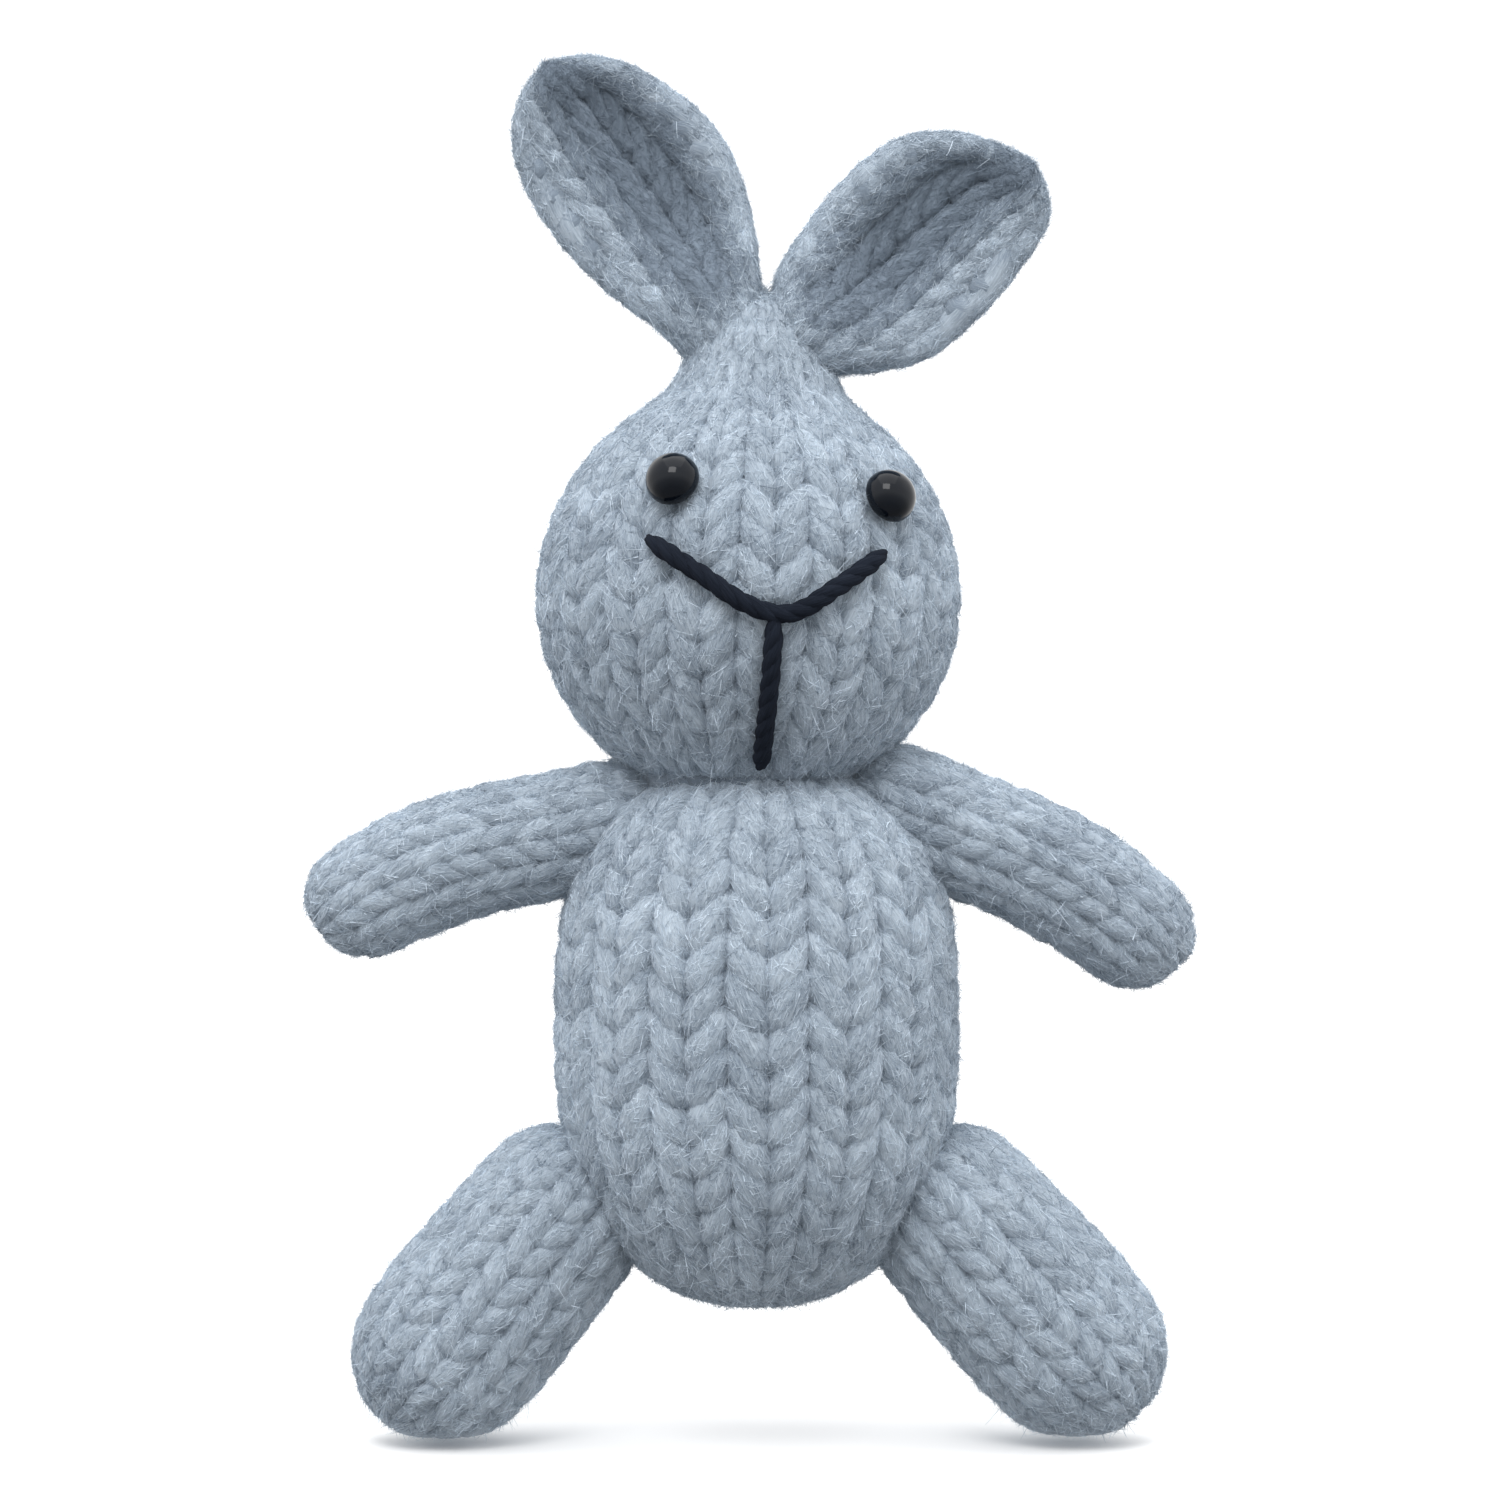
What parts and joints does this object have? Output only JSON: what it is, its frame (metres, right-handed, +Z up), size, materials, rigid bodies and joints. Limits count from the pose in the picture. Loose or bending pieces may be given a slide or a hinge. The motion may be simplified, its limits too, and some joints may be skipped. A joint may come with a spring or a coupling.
{
  "type": "knitted stuffed bunny",
  "caption": "Small hand-knitted stuffed bunny with a round head, upright cupped ears, glossy dome eyes, a stitched smile and soft tube arms and legs that bend at their sewn roots.",
  "frame": {"origin": "on the floor, at the middle of the toy's outline, between its feet", "axes": "+Z up, the face looks along -Y, +X is the toy's own left"},
  "size_m": [0.0898, 0.045, 0.1388],
  "materials": {
    "knit_cover": "fluffy chunky knit, matt",
    "sewing_yarn": "matt yarn",
    "stuffing": "loose polyester fibre",
    "black_yarn": "matt plied yarn",
    "eye_plastic": "polished",
    "washer_plastic": "plain"
  },
  "bodies": {
    "torso": {"torso_cover": "knit_cover", "torso_stuffing": "stuffing", "torso_gathering_yarn": "sewing_yarn"},
    "neck": {"neck_stuffing": "stuffing", "neck_tie_yarn": "sewing_yarn"},
    "head": {"head_cover": "knit_cover", "head_stuffing": "stuffing", "crown_gathering_yarn": "sewing_yarn", "eye_left": "eye_plastic", "eye_right": "eye_plastic", "eye_washer_left": "washer_plastic", "eye_washer_right": "washer_plastic", "mouth_smile_stitch": "black_yarn", "mouth_lip_stitch": "black_yarn"},
    "arm_root_left": {"arm_sewing_yarn_left": "sewing_yarn"},
    "arm_left": {"arm_cover_left": "knit_cover", "arm_stuffing_left": "stuffing"},
    "leg_root_left": {"leg_sewing_yarn_left": "sewing_yarn"},
    "leg_left": {"leg_cover_left": "knit_cover", "leg_stuffing_left": "stuffing"},
    "ear_root_left": {"ear_sewing_yarn_left": "sewing_yarn"},
    "ear_left": {"ear_left": "knit_cover"},
    "arm_root_right": {"arm_sewing_yarn_right": "sewing_yarn"},
    "arm_right": {"arm_cover_right": "knit_cover", "arm_stuffing_right": "stuffing"},
    "leg_root_right": {"leg_sewing_yarn_right": "sewing_yarn"},
    "leg_right": {"leg_cover_right": "knit_cover", "leg_stuffing_right": "stuffing"},
    "ear_root_right": {"ear_sewing_yarn_right": "sewing_yarn"},
    "ear_right": {"ear_right": "knit_cover"}
  },
  "joints": [
    {"name": "neck_nod", "type": "hinge", "parent": "torso", "child": "neck", "pos_m": [-0.00095, 0.0009, 0.067], "axis": [1, 0, 0], "range_deg": [-10, 10], "stiffness_Nm_per_rad": 0.04},
    {"name": "neck_turn", "type": "hinge", "parent": "neck", "child": "head", "pos_m": [-0.00095, 0.0009, 0.067], "axis": [0.0436, 0, 0.999], "range_deg": [-35, 35], "stiffness_Nm_per_rad": 0.02},
    {"name": "arm_raise_left", "type": "hinge", "parent": "torso", "child": "arm_root_left", "pos_m": [0.0225, 0.0009, 0.0604], "axis": [0, -1, 0], "range_deg": [-9, 50], "stiffness_Nm_per_rad": 0.01},
    {"name": "arm_swing_left", "type": "hinge", "parent": "arm_root_left", "child": "arm_left", "pos_m": [0.0225, 0.0009, 0.0604], "axis": [0, 0, -1], "range_deg": [-24, 40], "stiffness_Nm_per_rad": 0.01},
    {"name": "leg_spread_left", "type": "hinge", "parent": "torso", "child": "leg_root_left", "pos_m": [0.0215, 0.0009, 0.0203], "axis": [0, -1, 0], "range_deg": [-12, 25], "stiffness_Nm_per_rad": 0.03},
    {"name": "leg_swing_left", "type": "hinge", "parent": "leg_root_left", "child": "leg_left", "pos_m": [0.0215, 0.0009, 0.0203], "axis": [1, 0, 0], "range_deg": [-66, 30], "stiffness_Nm_per_rad": 0.03},
    {"name": "ear_lean_left", "type": "hinge", "parent": "head", "child": "ear_root_left", "pos_m": [0.00526, 0.0009, 0.10957], "axis": [0, 1, 0], "range_deg": [-12, 15], "stiffness_Nm_per_rad": 0.003},
    {"name": "ear_flop_left", "type": "hinge", "parent": "ear_root_left", "child": "ear_left", "pos_m": [0.00526, 0.0009, 0.10957], "axis": [1, 0, 0], "range_deg": [-30, 30], "stiffness_Nm_per_rad": 0.003},
    {"name": "arm_raise_right", "type": "hinge", "parent": "torso", "child": "arm_root_right", "pos_m": [-0.0211, 0.0009, 0.0604], "axis": [0, 1, 0], "range_deg": [-9, 50], "stiffness_Nm_per_rad": 0.01},
    {"name": "arm_swing_right", "type": "hinge", "parent": "arm_root_right", "child": "arm_right", "pos_m": [-0.0211, 0.0009, 0.0604], "axis": [0, 0, 1], "range_deg": [-24, 40], "stiffness_Nm_per_rad": 0.01},
    {"name": "leg_spread_right", "type": "hinge", "parent": "torso", "child": "leg_root_right", "pos_m": [-0.0201, 0.0009, 0.0203], "axis": [0, 1, 0], "range_deg": [-12, 25], "stiffness_Nm_per_rad": 0.03},
    {"name": "leg_swing_right", "type": "hinge", "parent": "leg_root_right", "child": "leg_right", "pos_m": [-0.0201, 0.0009, 0.0203], "axis": [1, 0, 0], "range_deg": [-66, 30], "stiffness_Nm_per_rad": 0.03},
    {"name": "ear_lean_right", "type": "hinge", "parent": "head", "child": "ear_root_right", "pos_m": [-0.00293, 0.0009, 0.10993], "axis": [0, -1, 0], "range_deg": [-12, 15], "stiffness_Nm_per_rad": 0.003},
    {"name": "ear_flop_right", "type": "hinge", "parent": "ear_root_right", "child": "ear_right", "pos_m": [-0.00293, 0.0009, 0.10993], "axis": [1, 0, 0], "range_deg": [-30, 30], "stiffness_Nm_per_rad": 0.003}
  ]
}
